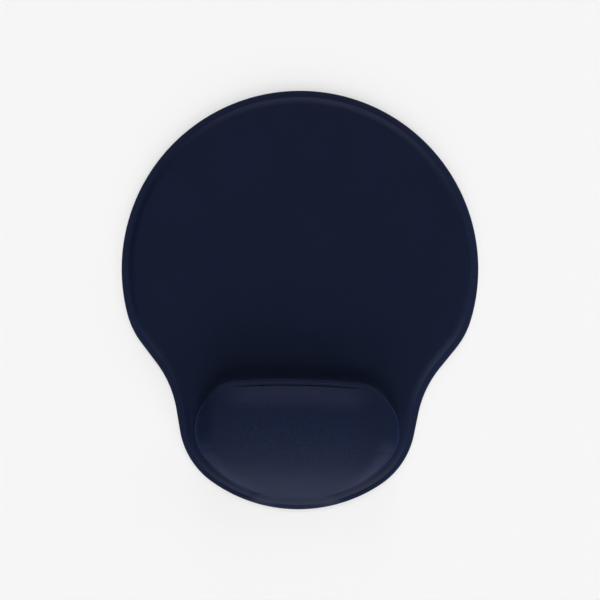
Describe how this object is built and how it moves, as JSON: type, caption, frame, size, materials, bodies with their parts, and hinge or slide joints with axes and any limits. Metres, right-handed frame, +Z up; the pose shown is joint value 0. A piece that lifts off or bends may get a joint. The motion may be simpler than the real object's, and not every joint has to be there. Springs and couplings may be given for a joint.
{
  "type": "wrist rest mouse pad",
  "caption": "Fabric-covered mouse pad with a rounded head, a narrow neck and a raised gel wrist rest at the near edge, on an anti-slip base.",
  "frame": {"origin": "underside of the base sheet, at the middle of the pad's length and width", "axes": "+Z up from the desk, +Y away from the user towards the mousing area, +X to the user's right"},
  "size_m": [0.213, 0.25, 0.02],
  "materials": {
    "base_sheet": "matte textured anti-slip polyurethane",
    "base_adhesive": "thin translucent adhesive film",
    "pad_foam": "fine closed-cell foam",
    "riser_adhesive": "thin translucent adhesive film",
    "rest_riser": "firm closed-cell foam",
    "gel_tape": "double-sided tape",
    "gel_film_bottom": "clear polyurethane film",
    "gel_core": "soft translucent gel",
    "gel_film_top": "clear polyurethane film",
    "fabric_cover": "fine navy stretch knit with a soft sheen"
  },
  "bodies": {
    "root": {"base_sheet": "base_sheet", "base_adhesive": "base_adhesive", "pad_foam": "pad_foam", "riser_adhesive": "riser_adhesive", "rest_riser": "rest_riser", "gel_tape": "gel_tape", "gel_film_bottom": "gel_film_bottom", "gel_core": "gel_core", "gel_film_top": "gel_film_top", "fabric_cover": "fabric_cover"}
  },
  "joints": []
}
